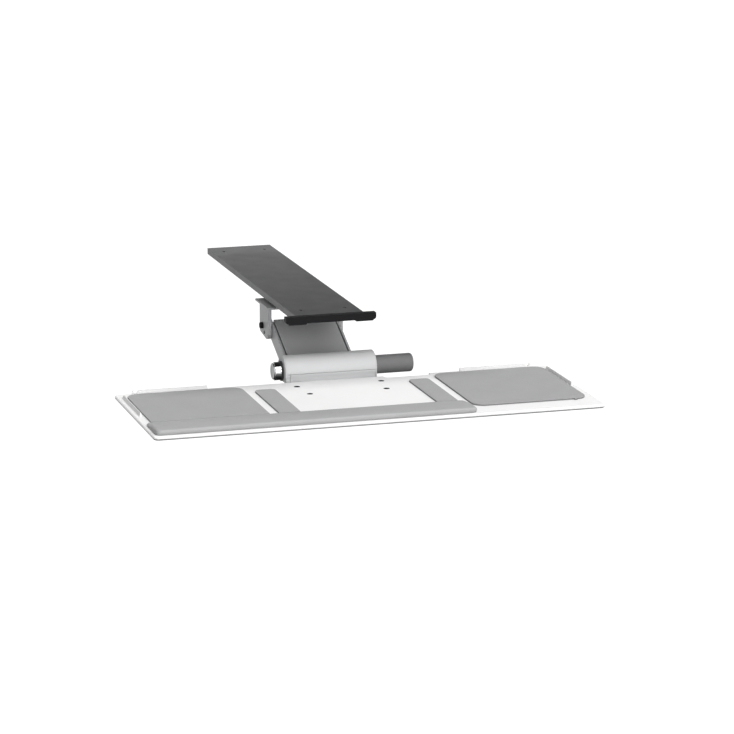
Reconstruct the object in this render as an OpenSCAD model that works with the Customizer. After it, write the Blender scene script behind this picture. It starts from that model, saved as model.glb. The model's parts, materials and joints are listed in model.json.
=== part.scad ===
// Keyboard tray on a sliding, swivelling and lifting arm, in millimetres.
// The origin is the centre of the track's mounting face, +X is the user's right, +Y points
// away from the user and +Z points up. The arm is drawn part way out, with the board level.

/* [Track] */
// Length of the track channel
track_l = 552; // [450:1:700]
// Width of the track channel
track_w = 108; // [100:1:130]
// Height of the track channel
track_h = 10; // [9:0.5:14]
// Sheet thickness of the track
track_t = 2; // [1.5:0.1:2.5]
// Width of each inward lip
lip_w = 14; // [10:1:18]
// Diameter of the screw holes
mount_hole_d = 5.5; // [4:0.1:7]
// Distance between screw holes across the track
mount_hole_dx = 70; // [50:1:74]
// Distance between screw holes along the track
mount_hole_dy = 480; // [300:1:500]
// Width of the front bar
bar_w = 143; // [120:1:160]
// Depth of the front bar
bar_d = 12; // [8:0.5:20]
// Height of the front bar
bar_h = 10.5; // [10:0.5:14]
// Drop of the two bosses under the front bar
boss_h = 2; // [1:0.1:3]
// Width of each boss
boss_w = 29; // [20:1:36]
// Depth of the rear stop block
rear_stop_d = 9; // [6:1:14]

/* [Carriage] */
// Place of the swivel axis along the track
swivel_y = -100; // [-150:1:0]
// Length of the carriage plate
carriage_l = 140; // [120:1:160]
// Thickness of the carriage plate
carriage_t = 3; // [2:0.1:4]
// Width of each nylon glide
glide_w = 6; // [4:0.5:9]
// Diameter of the hub between the lips
hub_d = 60; // [50:1:74]
// Drop of the hub below the track
hub_drop = 1.5; // [1:0.1:4]
// Thickness of the thrust washer
washer_t = 1.3; // [0.8:0.1:3]
// Diameter of the swivel bolt
bolt_d = 10; // [8:0.5:12]
// Diameter of the swivel disc
disc_d = 88; // [80:1:100]
// Thickness of the swivel disc
disc_t = 3; // [2:0.1:5]

/* [Pivot bracket] */
// Thickness of the bracket's top plate
bracket_t = 3; // [2:0.1:5]
// Thickness of each ear
ear_t = 6; // [4:0.1:7]
// Thickness of each inner lug
lug_t = 3; // [2:0.1:5]
// Reach of the ears in front of the upper pivot
ear_front = 31; // [26:0.5:40]
// Reach of the ears behind the upper pivot
ear_back = 19; // [12:0.5:20]
// Reach of the bracket's plate behind the upper pivot
plate_back = 46; // [44:0.5:60]
// Drop of the ears below the upper pivot
ear_drop = 17.8; // [14:0.1:22]
// Height of the bracket's plate above the upper pivot
pivot_drop = 30.5; // [28:0.5:45]
// Distance of the upper pivot in front of the swivel axis
pivot_front = 10; // [6:0.5:16]
// Diameter of the arm's pivot pins
pin_d = 8; // [7:0.5:9.5]
// Diameter of the pins' black heads
pin_head_d = 10; // [10:0.5:15]
// Thickness of the pins' black heads
pin_head_t = 5.5; // [2:0.1:7]
// Wire diameter of the lift springs
lift_wire = 2.5; // [1.5:0.1:2.6]
// Turns of each lift spring
lift_turns = 8; // [4:1:8]

/* [Arm] */
// Distance between the arm's pivots
arm_l = 138.7; // [125:0.1:180]
// Slope of the arm as drawn
arm_angle = 25.6; // [18:0.1:32]
// Width of the arm over its side plates
arm_w = 108; // [104:1:114]
// Thickness of the side plates
plate_t = 3; // [2:0.1:4]
// Height of the arm's top above the line of its pivots
arm_top = 19.1; // [18:0.1:21]
// Depth of the arm below the line of its pivots
arm_low = 6; // [5:0.1:9]
// Radius of the side plates round the pivots
pivot_r = 12; // [11:0.1:13]
// Sheet thickness of the cover and the floor
sheet_t = 2; // [1:0.1:2.5]
// Groove on each side of the cover
groove_w = 2.5; // [0.8:0.1:3]
// Wall of the pivot bushes
bush_wall = 2; // [1:0.1:3]
// Diameter of the cross spacers
spacer_d = 7; // [5:0.1:7.5]
// Distance of the levelling link from the line of the pivots
link_off = 12; // [11.6:0.1:12.4]
// Height of the levelling link
link_h = 8; // [6:0.1:8.5]
// Width of the levelling link
link_w = 19; // [10:0.5:20]
// Diameter of the link's pins
link_pin_d = 4; // [3:0.1:5]

/* [Head] */
// Distance of the tilt axis in front of the lower pivot
head_fwd = 30; // [28:0.1:34]
// Height of the tilt axis above the lower pivot
head_up = 22.3; // [21:0.1:28]
// Reach of the housing past the arm on each side
housing_side = 19; // [16:0.1:24]
// Outer radius of the housing
housing_r = 23.5; // [22:0.1:24]
// Wall of the housing cover
housing_wall = 2; // [1.2:0.1:2.4]
// Angle of the housing's seam below the tilt axis
seam_angle = 4; // [0:1:8]
// Thickness of the end caps
cap_t = 2.4; // [1.5:0.1:4]
// Thickness of the head's lugs and of the board bracket's ears
head_lug_t = 4; // [3:0.1:5]
// Outer diameter of the trunnion tubes
trunnion_d = 14; // [12:0.1:15]
// Diameter of the tilt screw
screw_d = 8; // [6:0.1:9]
// Diameter of the tilt knob
knob_d = 28; // [22:0.5:34]
// Length of the tilt knob
knob_l = 10.5; // [8:0.5:20]
// Thickness of the knob's satin cap
knob_cap_t = 1.6; // [1:0.1:3]
// Diameter of the dark ring beside the knob
ring_d = 31; // [26:0.5:36]
// Thickness of the dark ring
ring_t = 2; // [1:0.1:3]
// Diameter of the rubber grip
grip_d = 28.8; // [24:0.1:34]
// Length of the rubber grip
grip_l = 62; // [40:0.5:80]
// Rounding of the grip's end
grip_round = 4; // [2:0.1:6]
// Diameter of the core inside the grip
core_d = 19; // [14:0.5:20]
// Travel of the tilt nut each way
nut_travel = 8; // [4:0.5:9]
// Tilt of the board each way
tilt_max = 12; // [6:1:14]

/* [Board] */
// Width of the board
board_w = 686; // [640:1:760]
// Depth of the board
board_d = 268.5; // [250:0.5:300]
// Thickness of the board
board_t = 6; // [5:0.1:8]
// Corner radius of the board
board_r = 9; // [7:0.5:20]
// Distance from the tilt axis to the board's back edge
board_back = 35; // [33:0.5:50]
// Height of the tilt axis above the board's top
axis_up = 10.3; // [10:0.1:14]
// Depth of the finger scallop behind the grip
scallop_d = 13; // [8:0.5:16]
// Left end of the finger scallop
scallop_left = 78; // [74:1:90]
// Right end of the finger scallop
scallop_right = 152; // [130:1:170]
// Thickness of the board bracket
plate_bracket_t = 2.5; // [2:0.1:4]
// Distance from the back edge to the back screws
screw_back = 30; // [20:0.5:40]
// Distance from the back screws to the front screws
screw_pitch = 49.5; // [40:0.5:60]
// Distance between the back screws
screw_back_w = 133; // [110:0.5:133]
// Distance between the front screws
screw_front_w = 120; // [100:0.5:128]
// Diameter of the board screws
board_screw_d = 4.8; // [4:0.1:6]
// Diameter of the board screws' heads
board_screw_head = 9.6; // [7:0.1:10]

/* [Rests and fences] */
// Reach of the palm rest past the right grip strip
palm_past = 8; // [0:0.5:12]
// Depth of the palm rest
palm_d = 74; // [60:0.5:85]
// Height of the palm rest
palm_h = 8; // [6:0.5:14]
// Height of the palm rest along its back
palm_back_h = 3.6; // [3:0.1:5]
// Rounding of the palm rest's top edges
palm_round = 6; // [3:0.5:7]
// Distance of the palm rest from the board's left edge
palm_left = 4.5; // [3:0.5:8]
// Distance of the palm rest from the board's front edge
palm_front = 5.5; // [4:0.5:10]
// Width of a mouse pad
pad_w = 177.5; // [150:0.5:190]
// Depth of the right mouse pad
pad_d = 210; // [180:1:230]
// Thickness of the mouse pads
pad_t = 3; // [1.5:0.1:4]
// Corner radius of the mouse pads
pad_r = 18; // [10:0.5:24]
// Distance of the mouse pads from the board's side edge
pad_side = 14; // [13:0.5:18]
// Distance of the mouse pads from the board's back edge
pad_back = 17; // [12:0.5:22]
// Distance between a grip strip and the mouse pad beside it
strip_gap = 14.5; // [6:0.5:30]
// Width of a grip strip
strip_w = 32; // [20:0.5:40]
// Distance of the grip strips from the board's back edge
strip_back = 43; // [34:0.5:60]
// Thickness of the grip strips
strip_t = 3; // [1:0.1:4]
// Height of the mouse fences
fence_h = 5.4; // [4:0.1:8]
// Thickness of the mouse fences at their foot
fence_t = 4; // [3:0.1:6]
// Thickness of the side fences at their foot
side_fence_t = 5; // [4:0.1:5.4]
// Thickness of the mouse fences at their top
fence_top_t = 1.6; // [1:0.1:2.5]
// Length of a back fence
fence_l = 116; // [90:1:140]
// Distance from the board's side edge to the back fence's end
fence_side = 27; // [20:0.5:34]
// Width of the cord notch
notch_w = 5.6; // [5:0.1:8]
// Distance from the fence's end to the middle of the notch
notch_x = 6; // [5.5:0.1:10]
// Height of the notch's floor above the board
notch_z = 1.2; // [0.8:0.1:2]
// Length of a side fence
side_fence_l = 117; // [80:1:140]
// Distance from the board's side edge to the side fence's middle
side_fence_x = 9; // [8.5:0.1:9.5]
// Distance from the back edge to the side fences
side_fence_back = 28; // [16:1:40]

/* [Hidden] */
$fn = 64;

// Clearances: a running fit on a pin, a free gap between flat faces, and a fine overlap for cuts
fit = 0.05;
gap = 0.3;
cut = 1;
sides = [-1, 1];

// Heights down through the track, the carriage and the swivel
slot_w = track_w - 2 * lip_w;
channel_h = track_h - 2 * track_t;
plate_mid = -track_t - channel_h / 2;
hub_low = -track_h - hub_drop;
disc_top = hub_low - washer_t - gap;
bracket_top = disc_top - disc_t;
bracket_low = bracket_top - bracket_t;
bolt_head_d = bolt_d * 1.8;
nut_d = bolt_d * 1.8;
nut_h = bolt_d * 0.7;

// Places in the side view, as [y, z]
upper = [swivel_y - pivot_front, bracket_low - pivot_drop];
along = [cos(arm_angle), sin(arm_angle)];
above = [-sin(arm_angle), cos(arm_angle)];
lower = upper - arm_l * along;
upper_link = upper + link_off * above;
lower_link = lower + link_off * above;
tilt = lower + [-head_fwd, head_up];
board_top = tilt[1] - axis_up;
board_low = board_top - board_t;
back_edge = tilt[0] - board_back;
front_edge = back_edge - board_d;

// Places across the arm and the head
plate_in = arm_w / 2 - plate_t;
bush_flange = 0.7;
ear_in = arm_w / 2 + bush_flange + gap;
ear_out = ear_in + ear_t;
cover_half = plate_in - groove_w;
skirt_in = cover_half - sheet_t;
head_lug_out = skirt_in - gap;
head_lug_in = head_lug_out - head_lug_t;
lug_in = link_w / 2 + gap;
lug_out = lug_in + lug_t;
bush_r = pin_d / 2 + bush_wall;
cover_start = pivot_r + 2;
cover_end = arm_l - pivot_r;
floor_end = pivot_r * 2;
spacer_n = -arm_low + sheet_t + spacer_d / 2 + gap;

// The head, from the tilt axis outwards
housing_w = arm_w + 2 * housing_side;
cap_in = housing_w / 2 - cap_t;
trunnion_r = trunnion_d / 2;
lug_r = trunnion_r + 2.5;
trunnion_in = head_lug_in - 6;
screw_end = head_lug_in - 2;
tilt_ear_in = arm_w / 2 + gap;
tilt_ear_out = tilt_ear_in + head_lug_t;
tilt_ear_r = trunnion_r + 3;
cover_back_angle = 10;
panel_wall = 3;
panel_foot_t = 1.6;
panel_lap = 9;
panel_seam = 1.5;
panel_turn_angle = 202.5;
tongue_r = housing_r - housing_wall - 0.2;
tongue_wall = 2;
tongue_top_angle = 168;
tongue_low_angle = 195;
nut_half = screw_d / 2 + 2.5;
nut_pin_r = 2;
cradle_r = nut_half * sqrt(2) + 1.8;
cradle_half = nut_travel + 8;
cradle_reach = cradle_r * sin(tilt_max) + nut_pin_r + 1.9;
web_front = nut_half + 0.5;
web_back = web_front + 8;
web_low = -nut_half + 1.5;
web_high = trunnion_r + 2;
release_wire = 1.5;
release_pitch = release_wire * 1.4;
release_room = cap_in - tilt_ear_out - 2 * gap - release_wire;
release_turns = max(1, floor(release_room / release_pitch));

// The board's own places
bracket_back = tilt[0] - sqrt(pow(housing_r + 0.8, 2) - pow(axis_up + board_t, 2));
screws = [
    for (side = sides) [side * screw_back_w / 2, back_edge - screw_back],
    for (side = sides) [side * screw_front_w / 2, back_edge - screw_back - screw_pitch]
];
palm_back = front_edge + palm_front + palm_d;
pad_out = board_w / 2 - pad_side;
strip_x = pad_out - pad_w - strip_gap;
palm_x = -board_w / 2 + palm_left;
palm_l = strip_x + palm_past - palm_x;

// Shapes that repeat

// Draws a side view, given as [y, z], between two places across the width
module across(x0, x1) {
    translate([x0, 0, 0])
        rotate([90, 0, 90])
            linear_extrude(x1 - x0)
                children();
}

// The same side view on both sides
module both_across(x0, x1) {
    across(x0, x1) children();
    across(-x1, -x0) children();
}

module rod(at, r, x0, x1) {
    translate([x0, at[0], at[1]])
        rotate([0, 90, 0])
            cylinder(r = r, h = x1 - x0);
}

module disc_at(at, r) {
    translate(at)
        circle(r = r);
}

// A flat bar with round ends
module bar_shape(a, b, r) {
    way = (b - a) / norm(b - a);
    aside = [-way[1], way[0]] * r;
    disc_at(a, r);
    disc_at(b, r);
    polygon([a + aside, b + aside, b - aside, a - aside]);
}

function fan(r, from, to, steps = 8) = concat(
    [[0, 0]],
    [for (i = [0 : steps]) r * [cos(from + (to - from) * i / steps), sin(from + (to - from) * i / steps)]]
);

// A curved wall round the tilt axis, from one angle to another
module arc_wall(r, wall, from, to) {
    translate(tilt)
        intersection() {
            difference() {
                circle(r = r, $fn = 96);
                circle(r = r - wall, $fn = 96);
            }
            polygon(fan(r * 1.6, from, to));
        }
}

// A rectangle with round corners, from its low corner
module round_rect(low, size, r) {
    translate(low) {
        translate([r, 0]) square([size[0] - 2 * r, size[1]]);
        translate([0, r]) square([size[0], size[1] - 2 * r]);
        for (x = [r, size[0] - r], y = [r, size[1] - r])
            translate([x, y]) circle(r = r);
    }
}

// Places a shape in the arm's own frame: along the arm, and above the line of its pivots
module on_arm() {
    translate([0, lower[0], lower[1]])
        rotate([arm_angle, 0, 0])
            children();
}

// A coil wound along X, as one unbroken tube of six sides
coil_steps = 8;
function coil_point(i, r, pitch) = [
    pitch * i / coil_steps, r * cos(360 * i / coil_steps), r * sin(360 * i / coil_steps)
];
function coil_ring(i, r, pitch, wire) = [
    for (k = [0 : 5])
        coil_point(i, r, pitch)
        + wire / 2 * cos(60 * k) * [1, 0, 0]
        + wire / 2 * sin(60 * k) * [0, cos(360 * i / coil_steps), sin(360 * i / coil_steps)]
];
module coil(r, wire, turns, pitch) {
    rings = turns * coil_steps;
    points = [for (i = [0 : rings]) each coil_ring(i, r, pitch, wire)];
    wall = [
        for (i = [0 : rings - 1], k = [0 : 5])
            let (a = i * 6 + k, b = i * 6 + (k + 1) % 6)
            each [[a, b, a + 6], [b, b + 6, a + 6]]
    ];
    start = [for (k = [1 : 4]) [0, k + 1, k]];
    last = rings * 6;
    end = [for (k = [1 : 4]) [last, last + k, last + k + 1]];
    polyhedron(points, concat(wall, start, end));
}
function coil_radius(inner, wire) = (inner + gap + wire / 2) / cos(180 / coil_steps);

// Track

module track_rail() {
    color("dimgray")
    difference() {
        union() {
            translate([-track_w / 2, -track_l / 2, -track_t]) cube([track_w, track_l, track_t]);
            for (x = [-track_w / 2, track_w / 2 - track_t])
                translate([x, -track_l / 2, -track_h]) cube([track_t, track_l, track_h]);
            for (x = [-track_w / 2, track_w / 2 - lip_w])
                translate([x, -track_l / 2, -track_h]) cube([lip_w, track_l, track_t]);
        }
        for (x = sides, y = sides)
            translate([x * mount_hole_dx / 2, y * mount_hole_dy / 2, -track_t - cut])
                cylinder(d = mount_hole_d, h = track_t + 2 * cut);
    }
}

module front_bar() {
    corner = 4;
    color("#262626")
    translate([0, -track_l / 2, 0])
        rotate([90, 0, 0])
            linear_extrude(bar_d) {
                round_rect([-bar_w / 2, -bar_h], [bar_w, bar_h], corner);
                translate([-bar_w / 2, -bar_h / 2]) square([bar_w, bar_h / 2]);
                for (x = [-bar_w / 2 + corner, bar_w / 2 - corner - boss_w])
                    round_rect([x, -bar_h - boss_h], [boss_w, bar_h], boss_h);
            }
}

module rear_stop() {
    color("#262626")
    translate([-slot_w / 2 - lip_w / 2, track_l / 2 - rear_stop_d, -track_h + track_t])
        cube([slot_w + lip_w, rear_stop_d, channel_h]);
}

// Carriage and swivel

module carriage() {
    half = track_w / 2 - track_t - gap - glide_w;
    color("silver")
    difference() {
        union() {
            translate([-half, swivel_y - carriage_l / 2, plate_mid - carriage_t / 2])
                cube([2 * half, carriage_l, carriage_t]);
            translate([0, swivel_y, hub_low]) cylinder(d = hub_d, h = plate_mid - hub_low);
        }
        translate([0, swivel_y, hub_low - cut]) cylinder(d = bolt_d, h = track_h + hub_drop);
    }
}

module glide(side) {
    inner = track_w / 2 - track_t - gap - glide_w;
    x = side > 0 ? inner : -inner - glide_w;
    color("whitesmoke")
    translate([x, swivel_y - carriage_l / 2, plate_mid - channel_h / 2 + gap])
        cube([glide_w, carriage_l, channel_h - 2 * gap]);
}

module left_glide() { glide(-1); }
module right_glide() { glide(1); }

module thrust_washer() {
    color("whitesmoke")
    translate([0, swivel_y, hub_low - washer_t])
        difference() {
            cylinder(d = hub_d, h = washer_t);
            translate([0, 0, -cut]) cylinder(d = bolt_d, h = washer_t + 2 * cut);
        }
}

module swivel_bolt() {
    head = channel_h / 2 - carriage_t / 2 - gap;
    color("gray") {
        translate([0, swivel_y, bracket_low - gap - nut_h])
            cylinder(d = bolt_d, h = plate_mid + carriage_t / 2 - bracket_low + gap + nut_h);
        translate([0, swivel_y, plate_mid + carriage_t / 2]) cylinder(d = bolt_head_d, h = head);
    }
}

module swivel_nut() {
    color("gray")
    translate([0, swivel_y, bracket_low - gap - nut_h])
        difference() {
            cylinder(d = nut_d, h = nut_h, $fn = 6);
            translate([0, 0, -cut]) cylinder(d = bolt_d, h = nut_h + 2 * cut);
        }
}

module swivel_disc() {
    color("gray")
    translate([0, swivel_y, disc_top - disc_t])
        difference() {
            cylinder(d = disc_d, h = disc_t);
            translate([0, 0, -cut]) cylinder(r = bolt_d / 2 + fit, h = disc_t + 2 * cut);
            rivet_places() cylinder(d = rivet_d, h = 3 * disc_t, center = true);
        }
}

rivet_d = 5;
module rivet_places() {
    for (x = sides, y = sides)
        translate([x * disc_d * 0.28, y * disc_d * 0.28, 0])
            children();
}

module bracket_rivets() {
    color("gray")
    translate([0, swivel_y, 0])
        rivet_places()
            translate([0, 0, bracket_low])
                cylinder(d = rivet_d, h = bracket_t + disc_t);
}

ear_corner = 11;
ear_back_corner = 6;
ear_rise = 5;
ear_spot = upper + [-9, 8.3 - ear_drop];
module ear_shape() {
    front = upper[0] - ear_front;
    back = upper[0] + ear_back;
    low = upper[1] - ear_drop;
    polygon([
        [front, bracket_top], [back, bracket_top], [back, low + ear_rise + ear_back_corner],
        [back - ear_back_corner, low + ear_rise], [front + ear_corner, low], [front, low + ear_corner]
    ]);
    disc_at([front + ear_corner, low + ear_corner], ear_corner);
    disc_at([back - ear_back_corner, low + ear_rise + ear_back_corner], ear_back_corner);
}

module lug_shape() {
    reach = link_pin_d / 2 + 3 - (upper_link[0] - upper[0]);
    width = reach + pin_d / 2 + 4;
    translate([upper[0] - reach, upper[1]]) square([width, bracket_top - upper[1]]);
    disc_at([upper[0] - reach + width / 2, upper[1]], width / 2);
}

module pivot_bracket() {
    front = upper[0] - ear_front;
    color("darkgray")
    difference() {
        union() {
            translate([-ear_out, front, bracket_low])
                cube([2 * ear_out, ear_front + plate_back, bracket_t]);
            both_across(ear_in, ear_out) ear_shape();
            both_across(lug_in, lug_out) lug_shape();
        }
        translate([0, swivel_y, bracket_low - cut])
            cylinder(r = bolt_d / 2 + fit, h = bracket_t + 2 * cut);
        translate([0, swivel_y, bracket_low])
            rivet_places() cylinder(d = rivet_d, h = 3 * bracket_t, center = true);
        rod(upper, pin_d / 2, -ear_out - cut, ear_out + cut);
        rod(upper_link, link_pin_d / 2, -lug_out - cut, lug_out + cut);
        for (side = sides)
            rod(ear_spot, rivet_d / 2, side * ear_in - ear_t * 2, side * ear_in + ear_t * 2);
    }
}

module upper_pin() {
    color("gray")
    rod(upper, pin_d / 2, -ear_out, ear_out);
}

module upper_pin_heads() {
    color("#202020") {
        rod(upper, pin_head_d / 2, ear_out, ear_out + pin_head_t);
        rod(upper, pin_head_d / 2, -ear_out - pin_head_t, -ear_out);
    }
}

module ear_rivets() {
    head = 1;
    color("#404040") {
        rod(ear_spot, rivet_d / 2, ear_in, ear_out + head);
        rod(ear_spot, rivet_d / 2, -ear_out - head, -ear_in);
    }
}

module upper_link_pin() {
    color("gray")
    rod(upper_link, link_pin_d / 2, -lug_out, lug_out);
}

lift_pitch = lift_wire * 1.3;
module lift_springs() {
    r = coil_radius(pin_d / 2, lift_wire);
    start = lug_out + lift_wire / 2 + 1;
    echo(lift_spring_gap = lift_pitch - lift_wire);
    color("dimgray")
    for (side = sides)
        translate([side > 0 ? start : -start - lift_turns * lift_pitch, upper[0], upper[1]])
            coil(r, lift_wire, lift_turns, lift_pitch);
}

// Arm

module plate_shape() {
    step = pivot_r / 2;
    wide = pivot_r * cos(30);
    outline = [
        [0, -pivot_r], [floor_end, -arm_low], [arm_l - floor_end, -arm_low], [arm_l, -pivot_r],
        [arm_l + wide, step], [arm_l - 2, arm_top], [cover_start, arm_top], [-wide, step]
    ];
    polygon([for (p = outline) lower + p[0] * along + p[1] * above]);
    disc_at(lower, pivot_r);
    disc_at(upper, pivot_r);
}

module spacer_places() {
    for (share = [1 / 3, 2 / 3])
        translate([0, arm_l * share, spacer_n])
            children();
}

module arm_plate(side) {
    color("darkgray")
    difference() {
        across(side > 0 ? plate_in : -arm_w / 2, side > 0 ? arm_w / 2 : -plate_in) plate_shape();
        rod(upper, bush_r, -arm_w, arm_w);
        rod(lower, bush_r, -arm_w, arm_w);
    }
}

module arm_left_plate() { arm_plate(-1); }
module arm_right_plate() { arm_plate(1); }

module arm_cover() {
    length = cover_end - cover_start;
    low = -arm_low + sheet_t;
    skirt_cuts = [[cover_start - cut, floor_end], [arm_l - floor_end, cover_end + cut]];
    color("dimgray")
    on_arm()
        difference() {
            union() {
                translate([-cover_half, cover_start, arm_top - sheet_t])
                    cube([2 * cover_half, length, sheet_t]);
                for (x = [-cover_half, skirt_in])
                    translate([x, cover_start, low]) cube([sheet_t, length, arm_top - low]);
            }
            spacer_places()
                rotate([0, 90, 0]) cylinder(d = spacer_d, h = 2 * arm_w, center = true);
            for (x = [-cover_half - cut, skirt_in - cut], ends = skirt_cuts)
                translate([x, ends[0], low - cut])
                    cube([sheet_t + 2 * cut, ends[1] - ends[0], pivot_r + cut - low]);
        }
}

module arm_floor() {
    color("dimgray")
    on_arm()
        translate([-plate_in, floor_end, -arm_low])
            cube([2 * plate_in, arm_l - 2 * floor_end, sheet_t]);
}

module arm_spacers() {
    color("gray")
    on_arm()
        spacer_places()
            rotate([0, 90, 0]) cylinder(d = spacer_d, h = 2 * plate_in, center = true);
}

module bushes(at) {
    color("ivory")
    for (side = sides)
        difference() {
            union() {
                rod(at, bush_r, side > 0 ? plate_in : -arm_w / 2, side > 0 ? arm_w / 2 : -plate_in);
                rod(at, bush_r + 2, side > 0 ? arm_w / 2 : -arm_w / 2 - bush_flange,
                    side > 0 ? arm_w / 2 + bush_flange : -arm_w / 2);
            }
            rod(at, pin_d / 2 + fit, -arm_w, arm_w);
        }
}

module upper_bushes() { bushes(upper); }
module lower_bushes() { bushes(lower); }

module levelling_link() {
    loose = 0.5;
    color("gray")
    difference() {
        across(-link_w / 2, link_w / 2) bar_shape(lower_link, upper_link, link_h / 2);
        rod(upper_link, link_pin_d / 2 + fit, -link_w, link_w);
        rod(lower_link, link_pin_d / 2 + loose, -link_w, link_w);
    }
}

// Head

module tilt_head() {
    lug_low = pin_d / 2 + 3;
    web_y = tilt[0] + web_front;
    color("gray")
    difference() {
        union() {
            both_across(head_lug_in, head_lug_out) bar_shape(tilt, lower, lug_r);
            translate([-head_lug_out, web_y, tilt[1] + web_low])
                cube([2 * head_lug_out, web_back - web_front, web_high - web_low]);
            both_across(lug_in, lug_out) {
                disc_at(lower, lug_low);
                disc_at(lower_link, link_pin_d / 2 + 4);
                polygon([
                    [web_y + 4, tilt[1] + web_low], [tilt[0] + web_back, tilt[1] - 1],
                    lower_link + [0, link_pin_d / 2 + 4], lower + [lug_low, 0], lower + [-lug_low, 0]
                ]);
            }
        }
        rod(tilt, trunnion_r, -arm_w, arm_w);
        rod(lower, pin_d / 2, -arm_w, arm_w);
        rod(lower_link, link_pin_d / 2, -arm_w, arm_w);
    }
}

module lower_pin() {
    color("gray")
    rod(lower, pin_d / 2, -arm_w / 2 - bush_flange - gap, arm_w / 2 + bush_flange + gap);
}

module lower_pin_heads() {
    start = arm_w / 2 + bush_flange + gap;
    color("#202020") {
        rod(lower, pin_head_d / 2, start, start + pin_head_t);
        rod(lower, pin_head_d / 2, -start - pin_head_t, -start);
    }
}

module lower_link_pin() {
    color("gray")
    rod(lower_link, link_pin_d / 2, -lug_out, lug_out);
}

module trunnion(side) {
    inner = side > 0 ? trunnion_in : -housing_w / 2 - gap;
    outer = side > 0 ? housing_w / 2 : -trunnion_in;
    color("silver")
    difference() {
        rod(tilt, trunnion_r, inner, outer);
        rod(tilt, screw_d / 2 + fit, inner - cut, outer + cut);
    }
}

module left_trunnion() { trunnion(-1); }
module right_trunnion() { trunnion(1); }

module housing_cover() {
    color("lightgray")
    across(-cap_in, cap_in)
        arc_wall(housing_r, housing_wall, cover_back_angle, 180 + seam_angle);
}

// The end of the housing: round above, upright in front, and flat underneath
module cap_shape() {
    difference() {
        union() {
            disc_at(tilt, housing_r);
            translate([tilt[0] - housing_r, board_low]) square([housing_r, tilt[1] - board_low]);
        }
        translate([tilt[0] - 2 * housing_r, board_low - housing_r]) square([4 * housing_r, housing_r]);
    }
}

module end_cap(side) {
    inner = side > 0 ? cap_in : -housing_w / 2;
    color("lightgray")
    difference() {
        across(inner, inner + cap_t) cap_shape();
        rod(tilt, trunnion_r + fit, inner - cut, inner + cap_t + cut);
    }
}

module left_end_cap() { end_cap(-1); }
module right_end_cap() { end_cap(1); }

ring_face = -housing_w / 2 - gap;
module knob_ring() {
    color("#303030")
    difference() {
        rod(tilt, ring_d / 2, ring_face - ring_t, ring_face);
        rod(tilt, screw_d / 2 + fit, ring_face - ring_t - cut, ring_face + cut);
    }
}

module release_spring() {
    start = tilt_ear_out + release_wire / 2 + gap;
    echo(release_spring_gap = release_pitch - release_wire);
    color("dimgray")
    translate([start, tilt[0], tilt[1]])
        coil(coil_radius(trunnion_r, release_wire), release_wire, release_turns, release_pitch);
}

knob_face = ring_face - ring_t - gap;
module tilt_knob() {
    edge = 1.2;
    color("gainsboro")
    translate([knob_face, tilt[0], tilt[1]])
        rotate([0, -90, 0])
            rotate_extrude($fn = 96)
                polygon([
                    [0, 0], [knob_d / 2 - edge, 0], [knob_d / 2, edge],
                    [knob_d / 2, knob_l - edge], [knob_d / 2 - edge, knob_l], [0, knob_l]
                ]);
}

module knob_cap() {
    rim = 1.6;
    edge = 0.6;
    color("silver")
    translate([knob_face - knob_l, tilt[0], tilt[1]])
        rotate([0, -90, 0])
            rotate_extrude($fn = 96)
                polygon([
                    [0, 0], [knob_d / 2 - rim, 0], [knob_d / 2 - rim, knob_cap_t - edge],
                    [knob_d / 2 - rim - edge, knob_cap_t], [0, knob_cap_t]
                ]);
}

module tilt_screw() {
    color("gray")
    rod(tilt, screw_d / 2, knob_face, screw_end);
}

module tilt_nut() {
    length = 16;
    color("goldenrod")
    difference() {
        union() {
            translate([-length / 2, tilt[0] - nut_half, tilt[1] - nut_half])
                cube([length, 2 * nut_half, 2 * nut_half]);
            translate([0, tilt[0], tilt[1] - cradle_r - 2]) cylinder(r = nut_pin_r, h = cradle_r);
        }
        rod(tilt, screw_d / 2 + fit, -length, length);
    }
}

handle_face = housing_w / 2 + gap;
module handle_core() {
    color("gray") {
        rod(tilt, screw_d / 2, screw_end + 2, handle_face);
        rod(tilt, core_d / 2, handle_face, handle_face + grip_l - grip_round);
    }
}

module rubber_grip() {
    quarter = 6;
    r = grip_d / 2;
    color("dimgray")
    translate([handle_face, tilt[0], tilt[1]])
        rotate([0, 90, 0])
            rotate_extrude($fn = 96)
                polygon(concat(
                    [[core_d / 2, 0], [r - 1, 0], [r, 1]],
                    [for (i = [0 : quarter])
                        let (a = 90 * i / quarter)
                        [r - grip_round + grip_round * cos(a), grip_l - grip_round + grip_round * sin(a)]],
                    [[0, grip_l], [0, grip_l - grip_round], [core_d / 2, grip_l - grip_round]]
                ));
}

// Board

// The bracket's flat plate, as seen from above
module bracket_outline() {
    margin = 8;
    front = back_edge - screw_back - screw_pitch - margin;
    back_half = screw_back_w / 2 + margin;
    neck_half = min(back_half, cap_in - 2);
    polygon([
        [-screw_front_w / 2 - margin, front], [screw_front_w / 2 + margin, front],
        [back_half, back_edge - screw_back], [back_half, back_edge - margin],
        [neck_half, back_edge], [neck_half, bracket_back],
        [-neck_half, bracket_back], [-neck_half, back_edge],
        [-back_half, back_edge - margin], [-back_half, back_edge - screw_back]
    ]);
}

module tilt_ear_shape() {
    foot = bracket_back - 10;
    low = board_low - plate_bracket_t;
    disc_at(tilt, tilt_ear_r);
    translate([tilt[0] - trunnion_r, low]) square([2 * trunnion_r, tilt[1] - low]);
    translate([foot, low]) square([tilt[0] - foot, plate_bracket_t]);
}

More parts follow.
